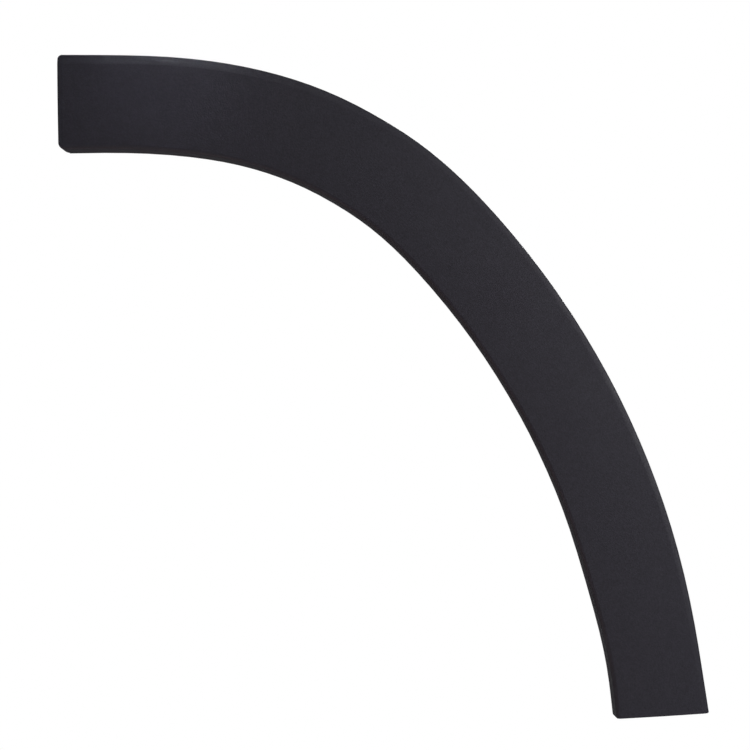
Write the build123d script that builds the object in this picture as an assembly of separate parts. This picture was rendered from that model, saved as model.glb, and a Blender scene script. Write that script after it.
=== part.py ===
from build123d import *
import math
import os

# Outer edge of the face in plan, from the upper end down: straight, three tangent arcs, straight
UPPER_RUN = 62.5
CROWN_RADIUS = 862.0
CROWN_TURN = 8.2
SHOULDER_RADIUS = 499.0
SHOULDER_TURN = 38.2
FLANK_RADIUS = 945.0
FLANK_TURN = 34.2
FOOT_RUN = 91.0

# Band, from the outer edge of the face to the rim of the wheel side lip, narrower at the foot
BAND_WIDTH = 108.5
FOOT_NARROWING = 4.4
NARROWING_LENGTH = 125.0
NARROWING_TO_END = 64.0

# Moulded channel section, with depths from the crest of the face towards the vehicle
WALL = 3.0
SEAT_DEPTH = 14.0
LIP_DEPTH = 28.0
FACE_CROWN = 1.25
BEVEL_WIDTH = 8.5
BEVEL_FOOT_WIDTH = 4.0
BEVEL_TAPER_LENGTH = 600.0
BEVEL_ANGLE = 28.0
BEVEL_BLEND = 12.0
RIM_ROUND = 2.0
LIP_ROLL = 5.0
FLANGE_DRAFT = 2.0
LIP_DRAFT = 3.0

# Ends: the upper cut leans from upright, the lower cut from level
UPPER_END_SLANT = 0.8
LOWER_END_SLANT = 3.5
END_WALL = 3.0
END_ROUND = 1.5
UPPER_CORNER = 6.0
UPPER_LIP_CORNER = 9.0
LOWER_CORNER = 4.0
LIP_CORNER = 4.0

# Clip towers on the back: a push-in clip slides into the slot of the plate, which lies on the seat
TOWER_COUNT = 7
TOWER_TO_END = 60.0
TOWER_LENGTH = 24.0
TOWER_WIDTH = 22.0
TOWER_WALL = 1.8
TOWER_PLATE = 2.5
SLOT_WIDTH = 7.2
SLOT_FLARE = 2.5

# Stiffening ribs across the channel, between the clip towers
RIBS_PER_BAY = 2
RIB_THICKNESS = 1.8
RIB_SETBACK = 4.0

# Allowances of the model: how far tools run past what they cut, and sections along the arch
OVERRUN = 25.0
STATIONS = 18


def outer_edge():
    """Outer edge of the face in plan, drawn past both ends for the end cuts.

    The origin is the upper clip slot: halfway across the band and on the seat.
    """
    top = BAND_WIDTH / 2
    run = Line((-TOWER_TO_END - OVERRUN, top), (UPPER_RUN - TOWER_TO_END, top))
    crown = JernArc(run @ 1, run % 1, CROWN_RADIUS, -CROWN_TURN)
    shoulder = JernArc(crown @ 1, crown % 1, SHOULDER_RADIUS, -SHOULDER_TURN)
    flank = JernArc(shoulder @ 1, shoulder % 1, FLANK_RADIUS, -FLANK_TURN)
    foot = Line(flank @ 1, flank @ 1 + (flank % 1) * (FOOT_RUN + OVERRUN))
    return Wire([run.edge(), crown.edge(), shoulder.edge(), flank.edge(), foot.edge()])


EDGE = outer_edge()
EDGE_LENGTH = EDGE.length - 2 * OVERRUN


def station(distance):
    """Section plane on the outer edge: x across the band, y towards the vehicle, z along."""
    place = EDGE.position_at(distance + OVERRUN, position_mode=PositionMode.LENGTH)
    along = EDGE.tangent_at(distance + OVERRUN, position_mode=PositionMode.LENGTH)
    return Plane(
        origin=(place.X, -SEAT_DEPTH, place.Y),
        x_dir=(along.Y, 0, -along.X),
        z_dir=(along.X, 0, along.Y),
    )


def band_width(distance):
    """Width of the band at a distance along the outer edge."""
    start = EDGE_LENGTH - NARROWING_TO_END - NARROWING_LENGTH
    share = min(max((distance - start) / NARROWING_LENGTH, 0.0), 1.0)
    return BAND_WIDTH - FOOT_NARROWING * share * share * (3 - 2 * share)


def bevel_width(distance):
    """Width of the bevel, which tapers off from the upper end."""
    share = min(max(distance / BEVEL_TAPER_LENGTH, 0.0), 1.0)
    return BEVEL_WIDTH - (BEVEL_WIDTH - BEVEL_FOOT_WIDTH) * share * share * (3 - 2 * share)


def bevel_depth(distance):
    """Depth of the outer edge, where the bevel meets the flange."""
    return FACE_CROWN + bevel_width(distance) * math.tan(math.radians(BEVEL_ANGLE))


def flange_spread(distance, depth):
    """How far the drafted flange stands out past the outer edge at a depth."""
    return (depth - bevel_depth(distance)) * math.tan(math.radians(FLANGE_DRAFT))


def skin_section(distance):
    """Filled section: outer flange, bevel, crowned face, rolled edge and wheel side lip."""
    width = band_width(distance)
    back = LIP_DEPTH + OVERRUN
    lip_lean = math.tan(math.radians(LIP_DRAFT))
    flange_back = (-flange_spread(distance, back), back)
    rim = (0, bevel_depth(distance))
    bevel_top = (bevel_width(distance), FACE_CROWN)
    roll = (width - lip_lean * (LIP_DEPTH - FACE_CROWN), FACE_CROWN)
    crest = ((bevel_top[0] + roll[0]) / 2, 0)
    lip_back = (width + lip_lean * (back - LIP_DEPTH), back)
    section = make_face(
        [
            Line(flange_back, rim),
            Line(rim, bevel_top),
            ThreePointArc(bevel_top, crest, roll),
            Line(roll, lip_back),
            Line(lip_back, flange_back),
        ]
    )
    for corner, radius in ((rim, RIM_ROUND), (bevel_top, BEVEL_BLEND), (roll, LIP_ROLL)):
        section = fillet(section.vertices().sort_by_distance(corner)[0], radius)
    return section


def inner_section(distance, inset):
    """The filled section moved in from its skin."""
    return offset(skin_section(distance), amount=-inset, kind=Kind.INTERSECTION)


def along_arch(section):
    """Solid that carries a section along the whole arch, past both ends."""
    span = EDGE_LENGTH + 2 * OVERRUN
    distances = [span * i / (STATIONS - 1) - OVERRUN for i in range(STATIONS)]
    return loft([station(d) * section(d) for d in distances])


def end_planes():
    """Planes of the two end cuts: x inwards from the outer edge, z out of the part."""
    upper = math.radians(UPPER_END_SLANT)
    lower = math.radians(LOWER_END_SLANT)
    top = station(0).origin
    corner = station(EDGE_LENGTH).origin
    return (
        Plane(
            origin=(top.X, 0, top.Z),
            x_dir=(math.sin(upper), 0, -math.cos(upper)),
            z_dir=(-math.cos(upper), 0, -math.sin(upper)),
        ),
        Plane(
            origin=(corner.X, 0, corner.Z),
            x_dir=(-math.cos(lower), 0, -math.sin(lower)),
            z_dir=(math.sin(lower), 0, -math.cos(lower)),
        ),
    )


def beyond(end, inset):
    """Everything beyond an end cut that is moved in along the arch."""
    reach = 4 * (BAND_WIDTH + LIP_DEPTH)
    block = Box(reach, reach, reach, align=(Align.CENTER, Align.CENTER, Align.MIN))
    return end * Pos(0, 0, -inset) * block


def behind(depth):
    """Everything behind a depth from the crest of the face."""
    reach = 4 * EDGE_LENGTH
    block = Box(reach, LIP_DEPTH + 2 * OVERRUN, reach, align=(Align.CENTER, Align.MIN, Align.CENTER))
    return Pos(0, depth - SEAT_DEPTH, 0) * block


def flange_trim():
    """Everything behind the seat over the outer half of the band, where the flange ends."""
    span = EDGE_LENGTH + 2 * OVERRUN
    planes = [station(span * i / (STATIONS - 1) - OVERRUN) for i in range(STATIONS)]
    middle = [p.from_local_coords((BAND_WIDTH / 2, 0, 0)) for p in planes]
    outside = [p.from_local_coords((-OVERRUN, 0, 0)) for p in planes]
    outline = [(point.X, point.Z) for point in middle + outside[::-1]]
    return extrude(Plane.XZ * make_face(Polyline(*outline, close=True)), -LIP_DEPTH)


def corner_cut(plane, radius, length):
    """What a rounded corner leaves out, for a corner at the plane's origin towards +x and +y."""
    quarter = Rectangle(2 * radius, 2 * radius, align=(Align.MIN, Align.MIN)) - Circle(radius)
    return extrude(plane * Pos(-radius, -radius) * quarter, length, both=True)


def plan_corners(upper, lower):
    """Corners that are rounded as seen on the face: a plane, x and y out of the corner, and a radius."""
    outer = upper.from_local_coords((-flange_spread(0, SEAT_DEPTH), 0, 0))
    lip_side = upper.from_local_coords((BAND_WIDTH, 0, 0))
    foot = lower.from_local_coords((-flange_spread(EDGE_LENGTH, SEAT_DEPTH), 0, 0))
    return [
        (Plane(outer, -upper.x_dir, upper.y_dir), UPPER_CORNER),
        (Plane(lip_side, upper.x_dir, -upper.y_dir), UPPER_LIP_CORNER),
        (Plane(foot, -lower.x_dir, lower.y_dir), LOWER_CORNER),
    ]


def lip_corner_cut(end):
    """Rounding of the lip's free corner at an end."""
    back = Vector(0, 1, 0)
    corner = end.origin + end.x_dir * BAND_WIDTH + back * (LIP_DEPTH - SEAT_DEPTH)
    plane = Plane(origin=corner, x_dir=back, z_dir=back.cross(end.z_dir))
    return corner_cut(plane, LIP_CORNER, OVERRUN)


def shell():
    """Open-backed moulding: rounded ends, end walls and an outer flange that end on the seat."""
    upper, lower = end_planes()
    body = along_arch(skin_section) - beyond(upper, 0) - beyond(lower, 0) - behind(LIP_DEPTH)
    rim = LIP_DEPTH - SEAT_DEPTH
    end_edges = [
        edge
        for end in (upper, lower)
        for edge in body.faces().filter_by(end).edges()
        if edge.center().Y < rim - END_ROUND
    ]
    body = fillet(end_edges, END_ROUND)
    corners = plan_corners(upper, lower)
    body -= [corner_cut(plane, radius, LIP_DEPTH) for plane, radius in corners]
    cavity = along_arch(lambda distance: inner_section(distance, WALL))
    body -= cavity - beyond(upper, END_WALL) - beyond(lower, END_WALL) - [
        corner_cut(plane * Pos(-WALL, -END_WALL), radius - WALL, LIP_DEPTH)
        for plane, radius in corners
        if radius > WALL
    ]
    body -= cavity & behind(SEAT_DEPTH)
    body -= flange_trim()
    return body - lip_corner_cut(upper) - lip_corner_cut(lower)


def tower_distances():
    """Places of the clip towers along the outer edge."""
    pitch = (EDGE_LENGTH - 2 * TOWER_TO_END) / (TOWER_COUNT - 1)
    return [TOWER_TO_END + pitch * i for i in range(TOWER_COUNT)]


def clip_tower(distance):
    """Three walls and a slotted plate, open towards the lower end, with its foot in the face wall."""
    height = SEAT_DEPTH - WALL / 2
    mouth = -TOWER_LENGTH / 2
    top = (Align.CENTER, Align.CENTER, Align.MAX)
    block = Box(TOWER_WIDTH, TOWER_LENGTH, height, align=top)
    room = Box(TOWER_WIDTH - 2 * TOWER_WALL, TOWER_LENGTH, height, align=top)
    throat = Circle(SLOT_WIDTH / 2) + Rectangle(
        SLOT_WIDTH, TOWER_LENGTH, align=(Align.CENTER, Align.MAX)
    )
    flare = Polygon(
        (-SLOT_WIDTH / 2 - SLOT_FLARE, mouth),
        (SLOT_WIDTH / 2 + SLOT_FLARE, mouth),
        (SLOT_WIDTH / 2, mouth + SLOT_FLARE),
        (-SLOT_WIDTH / 2, mouth + SLOT_FLARE),
        align=None,
    )
    slot = extrude(throat + flare, -height)
    place = station(distance)
    seat = Plane(
        origin=place.from_local_coords((band_width(distance) / 2, SEAT_DEPTH, 0)),
        x_dir=place.x_dir,
        z_dir=place.y_dir,
    )
    return seat * (block - Pos(0, -TOWER_WALL, -TOWER_PLATE) * room - slot)


def rib(distance):
    """Web across the channel that stays clear of the seat."""
    reach = 4 * BAND_WIDTH
    below_seat = Pos(0, SEAT_DEPTH - RIB_SETBACK) * Rectangle(
        reach, reach, align=(Align.CENTER, Align.MAX)
    )
    web = inner_section(distance, WALL / 2) & below_seat
    return extrude(station(distance) * web, RIB_THICKNESS / 2, both=True)


def step_trim():
    """The whole moulding."""
    towers = tower_distances()
    bay = (towers[1] - towers[0]) / (RIBS_PER_BAY + 1)
    ribs = [start + bay * (i + 1) for start in towers[:-1] for i in range(RIBS_PER_BAY)]
    return shell() + [clip_tower(d) for d in towers] + [rib(d) for d in ribs]


os.makedirs("parts", exist_ok=True)
export_step(step_trim(), "parts/step_trim.step")
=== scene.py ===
"""A black moulded step trim: its grained plastic, a white studio sweep, soft lamps and the camera.

Lengths are in metres.
"""

import logging
import math
from dataclasses import dataclass
from enum import Enum

import bpy
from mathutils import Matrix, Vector


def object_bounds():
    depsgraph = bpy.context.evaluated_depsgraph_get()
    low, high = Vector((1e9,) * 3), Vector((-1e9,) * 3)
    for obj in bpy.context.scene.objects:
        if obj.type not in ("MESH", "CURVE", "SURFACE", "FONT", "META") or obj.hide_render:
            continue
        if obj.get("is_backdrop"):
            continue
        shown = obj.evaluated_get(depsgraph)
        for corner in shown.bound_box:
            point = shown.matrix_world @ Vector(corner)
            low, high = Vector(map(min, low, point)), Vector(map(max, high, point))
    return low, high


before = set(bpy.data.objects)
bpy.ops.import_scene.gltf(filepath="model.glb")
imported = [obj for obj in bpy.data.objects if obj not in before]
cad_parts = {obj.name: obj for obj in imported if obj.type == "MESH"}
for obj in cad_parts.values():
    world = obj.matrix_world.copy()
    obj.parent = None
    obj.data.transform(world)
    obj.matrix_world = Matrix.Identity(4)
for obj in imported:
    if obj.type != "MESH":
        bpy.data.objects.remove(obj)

LOG = logging.getLogger("step_trim_scene")

Colour = tuple[float, float, float]
Point = tuple[float, float, float]
Span = tuple[float, float]

WHITE: Colour = (1.0, 1.0, 1.0)
COOL: Colour = (0.90, 0.95, 1.0)
WARM: Colour = (1.0, 0.50, 0.34)
WHOLE: Span = (0.0, 1.0)
# Most of a noise's values lie in this span.
NOISE_MIDDLE: Span = (0.3, 0.7)
NOISE_ROUGHNESS = 0.6


class LampRole(Enum):
    """What a lamp does in the studio; the value is the lamp's name."""

    KEY = "gridded_key"
    TOP = "overhead_softbox"
    SIDE = "side_softbox"
    FRONT = "front_fill"
    BOUNCE = "warm_bounce"
    BACK = "back_fill"


class Ramp(Enum):
    """How a value runs from one end of a range to the other."""

    STRAIGHT = "LINEAR"
    SOFT = "SMOOTHSTEP"


class NodeGraph:
    """A material's node tree, with short ways to add nodes and links."""

    def __init__(self, name: str) -> None:
        """Start an empty material tree.

        Args:
            name: the material's name.
        """
        self.material = bpy.data.materials.new(name)
        self.material.use_nodes = True
        self.tree = self.material.node_tree
        self.tree.nodes.clear()

    def add(self, kind: str, **values: object) -> bpy.types.Node:
        """Add one node and set its sockets or properties by name.

        Args:
            kind: the node's type, without its ShaderNode prefix.
            values: property values, or socket values with _ for a space.

        Returns:
            The new node.
        """
        node = self.tree.nodes.new("ShaderNode" + kind)
        for key, value in values.items():
            socket = key.replace("_", " ")
            if socket in node.inputs:
                node.inputs[socket].default_value = value
            else:
                setattr(node, key, value)
        return node

    def link(self, source: bpy.types.NodeSocket, target: bpy.types.NodeSocket) -> None:
        """Link two sockets."""
        self.tree.links.new(source, target)

    def noise(self, place: bpy.types.NodeSocket, scale: float, detail: float) -> bpy.types.NodeSocket:
        """Add an even noise over the surface.

        Args:
            place: the coordinates it reads.
            scale: features per metre.
            detail: octaves of finer noise.

        Returns:
            The noise's value, from 0 to 1.
        """
        node = self.add("TexNoise", Scale=scale, Detail=detail, Roughness=NOISE_ROUGHNESS)
        self.link(place, node.inputs["Vector"])
        return node.outputs["Fac"]

    def ramp(
        self, value: bpy.types.NodeSocket, span: Span, ends: Span, kind: Ramp = Ramp.STRAIGHT
    ) -> bpy.types.NodeSocket:
        """Carry a value from one range to another, and hold it at the ends.

        Args:
            value: the value to carry.
            span: where the value starts and stops counting.
            ends: the results at the two ends of the span.
            kind: how the result runs between them.

        Returns:
            The result.
        """
        node = self.add("MapRange", interpolation_type=kind.value)
        for name, number in zip(("From Min", "From Max", "To Min", "To Max"), (*span, *ends)):
            node.inputs[name].default_value = number
        self.link(value, node.inputs["Value"])
        return node.outputs["Result"]


@dataclass(frozen=True)
class GrainedPlastic:
    """Black filled polypropylene from a spark-grained mould, smooth on the side that the core forms.

    Scales are in features per metre, and each count of octaves goes with the scale of its name. Mottle and
    speckle are shares of the colour. A surface counts as back by how far it turns to the vehicle, and
    back_turn is the span over which that grows.
    """

    name: str = "grained_black_plastic"
    colour: Colour = (0.0134, 0.0122, 0.0181)
    mottle: float = 0.06
    mottle_scale: float = 90.0
    mottle_octaves: float = 4.0
    speckle: float = 0.16
    speckle_scale: float = 480.0
    speckle_octaves: float = 1.0
    cloud_scale: float = 20.0
    cloud_octaves: float = 3.0
    grain_scale: float = 620.0
    grain_octaves: float = 2.0
    grain_depth: float = 0.0003
    grain_strength: float = 0.6
    face_roughness: Span = (0.50, 0.60)
    back_roughness: Span = (0.34, 0.44)
    back_turn: Span = (0.1, 0.5)
    ior: float = 1.5
    specular: float = 0.20

    def material(self) -> bpy.types.Material:
        """Build the finish as a node material.

        Returns:
            The material.
        """
        graph = NodeGraph(self.name)
        place = graph.add("TexCoord").outputs["Object"]
        shader = graph.add("BsdfPrincipled", IOR=self.ior)
        shader.inputs["Specular IOR Level"].default_value = self.specular
        output = graph.add("OutputMaterial")
        graph.link(self._colour(graph, place), shader.inputs["Base Color"])
        back = self._back_share(graph)
        graph.link(self._roughness(graph, place, back), shader.inputs["Roughness"])
        graph.link(self._grain(graph, place, back), shader.inputs["Normal"])
        graph.link(shader.outputs["BSDF"], output.inputs["Surface"])
        return graph.material

    def _colour(self, graph: NodeGraph, place: bpy.types.NodeSocket) -> bpy.types.NodeSocket:
        """Mottle and speckle the pigment a little, as carbon black disperses in the melt.

        Args:
            graph: the material's nodes.
            place: the object coordinates.

        Returns:
            The colour.
        """
        mottle = graph.noise(place, self.mottle_scale, self.mottle_octaves)
        speckle = graph.noise(place, self.speckle_scale, self.speckle_octaves)
        shade = graph.add("Math", operation="MULTIPLY")
        for noise, depth, socket in zip((mottle, speckle), (self.mottle, self.speckle), shade.inputs):
            graph.link(graph.ramp(noise, NOISE_MIDDLE, (1 - depth, 1 + depth)), socket)
        tint = graph.add("VectorMath", operation="SCALE")
        tint.inputs[0].default_value = self.colour
        graph.link(shade.outputs["Value"], tint.inputs["Scale"])
        return tint.outputs["Vector"]

    def _back_share(self, graph: NodeGraph) -> bpy.types.NodeSocket:
        """Tell the core's side, which faces the vehicle, from the grained side.

        Args:
            graph: the material's nodes.

        Returns:
            1 where the surface faces the vehicle, and 0 elsewhere.
        """
        normal = graph.add("NewGeometry").outputs["Normal"]
        parts = graph.add("SeparateXYZ")
        graph.link(normal, parts.inputs["Vector"])
        return graph.ramp(parts.outputs["Y"], self.back_turn, WHOLE, Ramp.SOFT)

    def _roughness(
        self, graph: NodeGraph, place: bpy.types.NodeSocket, back: bpy.types.NodeSocket
    ) -> bpy.types.NodeSocket:
        """Let the gloss drift slowly over the band, and rise on the core's side.

        Args:
            graph: the material's nodes.
            place: the object coordinates.
            back: 1 on the core's side.

        Returns:
            The roughness.
        """
        cloud = graph.noise(place, self.cloud_scale, self.cloud_octaves)
        mix = graph.add("Mix", data_type="FLOAT")
        graph.link(back, mix.inputs["Factor"])
        graph.link(graph.ramp(cloud, NOISE_MIDDLE, self.face_roughness), mix.inputs["A"])
        graph.link(graph.ramp(cloud, NOISE_MIDDLE, self.back_roughness), mix.inputs["B"])
        return mix.outputs["Result"]

    def _grain(
        self, graph: NodeGraph, place: bpy.types.NodeSocket, back: bpy.types.NodeSocket
    ) -> bpy.types.NodeSocket:
        """Raise the fine spark grain, which the core's side lacks.

        Args:
            graph: the material's nodes.
            place: the object coordinates.
            back: 1 on the core's side.

        Returns:
            The bumped normal.
        """
        bump = graph.add("Bump", Distance=self.grain_depth)
        strength = graph.ramp(back, WHOLE, (self.grain_strength, 0.0))
        graph.link(strength, bump.inputs["Strength"])
        graph.link(graph.noise(place, self.grain_scale, self.grain_octaves), bump.inputs["Height"])
        return bump.outputs["Normal"]


@dataclass(frozen=True)
class WhitePaper:
    """White sweep paper: it takes the object's shadow near by, and is white to the camera farther off.

    Near by, a share of the paper's colour takes the light and a steady glow makes up the rest. The fade is
    the span of distances over which that turns to plain white.
    """

    name: str = "white_paper"
    colour: Colour = (0.80, 0.80, 0.80)
    near_glow: float = 0.72
    near_share: float = 0.30
    fade: Span = (0.7, 1.35)

    def material(self) -> bpy.types.Material:
        """Build the paper as a node material.

        Returns:
            The material.
        """
        graph = NodeGraph(self.name)
        path = graph.add("LightPath")
        seen = graph.add("Math", operation="MAXIMUM")
        graph.link(path.outputs["Is Camera Ray"], seen.inputs[0])
        graph.link(path.outputs["Is Transmission Ray"], seen.inputs[1])
        matte = graph.add("BsdfDiffuse", Color=(*self.colour, 1.0))
        pick = graph.add("MixShader")
        graph.link(seen.outputs["Value"], pick.inputs["Fac"])
        graph.link(matte.outputs["BSDF"], pick.inputs[1])
        graph.link(self._seen(graph), pick.inputs[2])
        output = graph.add("OutputMaterial")
        graph.link(pick.outputs["Shader"], output.inputs["Surface"])
        return graph.material

    def _seen(self, graph: NodeGraph) -> bpy.types.NodeSocket:
        """Fade from lit paper under the object to plain white far from it.

        Args:
            graph: the material's nodes.

        Returns:
            The shader that the camera sees.
        """
        pale = graph.add("BsdfDiffuse", Color=(*(c * self.near_share for c in self.colour), 1.0))
        light = graph.add("Emission", Strength=self.near_glow)
        near = graph.add("AddShader")
        graph.link(pale.outputs["BSDF"], near.inputs[0])
        graph.link(light.outputs["Emission"], near.inputs[1])
        reach = graph.add("VectorMath", operation="LENGTH")
        graph.link(graph.add("TexCoord").outputs["Object"], reach.inputs[0])
        seen = graph.add("MixShader")
        fade = graph.ramp(reach.outputs["Value"], self.fade, WHOLE, Ramp.SOFT)
        graph.link(fade, seen.inputs["Fac"])
        graph.link(near.outputs["Shader"], seen.inputs[1])
        graph.link(graph.add("Emission", Strength=1.0).outputs["Emission"], seen.inputs[2])
        return seen.outputs["Shader"]


@dataclass
class StepTrim:
    """The trim itself: one moulded band."""

    node: str = "step_trim"
    finish: GrainedPlastic = GrainedPlastic()

    def dress(self) -> bpy.types.Object:
        """Give the moulded band its grained finish.

        Returns:
            The band.
        """
        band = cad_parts[self.node]
        material = self.finish.material()
        for slot in band.material_slots:
            slot.material = material
        return band


@dataclass
class Sweep:
    """The pale studio floor, below the hung trim."""

    drop: float = 0.35
    half_width: float = 12.0
    paper: WhitePaper = WhitePaper()

    def build(self) -> bpy.types.Object:
        """Lay the floor under the trim.

        Returns:
            The floor.
        """
        low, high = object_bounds()
        middle = (low + high) / 2
        reach = self.half_width
        corners = [(-reach, -reach, 0), (reach, -reach, 0), (reach, reach, 0), (-reach, reach, 0)]
        mesh = bpy.data.meshes.new("studio_floor")
        mesh.from_pydata(corners, [], [(0, 1, 2, 3)])
        floor = bpy.data.objects.new("studio_floor", mesh)
        floor.location = (middle.x, middle.y, low.z - self.drop)
        mesh.materials.append(self.paper.material())
        bpy.context.scene.collection.objects.link(floor)
        floor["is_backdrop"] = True
        return floor


@dataclass(frozen=True)
class Softbox:
    """One soft lamp, placed from the middle of the trim and turned towards a point near it.

    The beam is the full angle of the light, in degrees: a grid narrows it.
    """

    role: LampRole
    place: Point
    aim: Point
    size: Span
    watts: float
    colour: Colour = WHITE
    beam: float = 180.0

    def hang(self, middle: Vector) -> bpy.types.Object:
        """Hang the lamp.

        Args:
            middle: the middle of the trim.

        Returns:
            The lamp.
        """
        light = bpy.data.lights.new(self.role.value, "AREA")
        light.shape = "RECTANGLE"
        light.size, light.size_y = self.size
        light.energy = self.watts
        light.color = self.colour
        light.spread = math.radians(self.beam)
        lamp = bpy.data.objects.new(self.role.value, light)
        lamp.location = middle + Vector(self.place)
        look = Vector(self.aim) - Vector(self.place)
        lamp.rotation_euler = look.to_track_quat("-Z", "Y").to_euler()
        bpy.context.scene.collection.objects.link(lamp)
        return lamp


@dataclass(frozen=True)
class Room:
    """The studio's soft surround, white to the camera."""

    level: float = 0.125
    colour: Colour = (0.97, 0.98, 1.0)

    def light(self) -> None:
        """Set the world's background."""
        world = bpy.data.worlds.new("studio_surround")
        bpy.context.scene.world = world
        world.use_nodes = True
        nodes, links = world.node_tree.nodes, world.node_tree.links
        nodes.clear()
        soft = nodes.new("ShaderNodeBackground")
        soft.inputs["Color"].default_value = (*self.colour, 1.0)
        soft.inputs["Strength"].default_value = self.level
        white = nodes.new("ShaderNodeBackground")
        white.inputs["Color"].default_value = (*WHITE, 1.0)
        path = nodes.new("ShaderNodeLightPath")
        pick = nodes.new("ShaderNodeMixShader")
        output = nodes.new("ShaderNodeOutputWorld")
        links.new(path.outputs["Is Camera Ray"], pick.inputs["Fac"])
        links.new(soft.outputs["Background"], pick.inputs[1])
        links.new(white.outputs["Background"], pick.inputs[2])
        links.new(pick.outputs["Shader"], output.inputs["Surface"])


@dataclass(frozen=True)
class Viewpoint:
    """The camera: square on to the face, level, at the photograph's distance.

    Half_field is half the width of the view at the front of the trim; the sensor's width is in millimetres.
    """

    distance: float = 1.994
    right_of_upper_end: float = 0.3597
    below_crown: float = 0.3633
    half_field: float = 0.42375
    sensor: float = 36.0

    def place(self) -> bpy.types.Object:
        """Put the camera in front of the face and make it the scene's own.

        Returns:
            The camera.
        """
        low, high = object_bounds()
        data = bpy.data.cameras.new("photo_camera")
        data.sensor_width = self.sensor
        data.lens = self.sensor / 2 * self.distance / self.half_field
        camera = bpy.data.objects.new("photo_camera", data)
        camera.location = (
            low.x + self.right_of_upper_end,
            low.y - self.distance,
            high.z - self.below_crown,
        )
        camera.rotation_euler = (math.pi / 2, 0.0, 0.0)
        bpy.context.scene.collection.objects.link(camera)
        bpy.context.scene.camera = camera
        return camera


LAMPS: tuple[Softbox, ...] = (
    Softbox(LampRole.KEY, (-0.23, -0.42, 0.90), (-0.25, 0.0, 0.375), (0.10, 0.10), 0.064, COOL, beam=23.0),
    Softbox(LampRole.TOP, (0.5, -1.2, 1.7), (0.0, 0.0, 0.1), (1.2, 1.0), 12.0),
    Softbox(LampRole.SIDE, (1.15, -0.72, 0.33), (0.23, 0.0, 0.04), (0.5, 0.8), 13.0),
    Softbox(LampRole.FRONT, (0.6, -2.6, 0.5), (0.0, 0.0, 0.0), (1.4, 1.4), 14.8),
    Softbox(LampRole.BOUNCE, (-0.45, -0.25, -0.60), (0.05, 0.02, 0.1), (0.9, 0.4), 0.55, WARM, beam=100.0),
    Softbox(LampRole.BACK, (0.55, 1.4, 0.65), (0.0, 0.0, 0.0), (1.0, 0.8), 13.0, beam=80.0),
)


def main() -> None:
    """Dress the trim, then build the studio round it."""
    logging.basicConfig(level=logging.INFO)
    bpy.context.scene.view_settings.view_transform = "Standard"
    cad_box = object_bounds()
    middle = (cad_box[0] + cad_box[1]) / 2
    LOG.info("dressed %s", StepTrim().dress().name)
    LOG.info("laid %s", Sweep().build().name)
    for lamp in LAMPS:
        LOG.info("hung %s", lamp.hang(middle).name)
    Room().light()
    LOG.info("placed %s", Viewpoint().place().name)


if __name__ == "__main__":
    main()
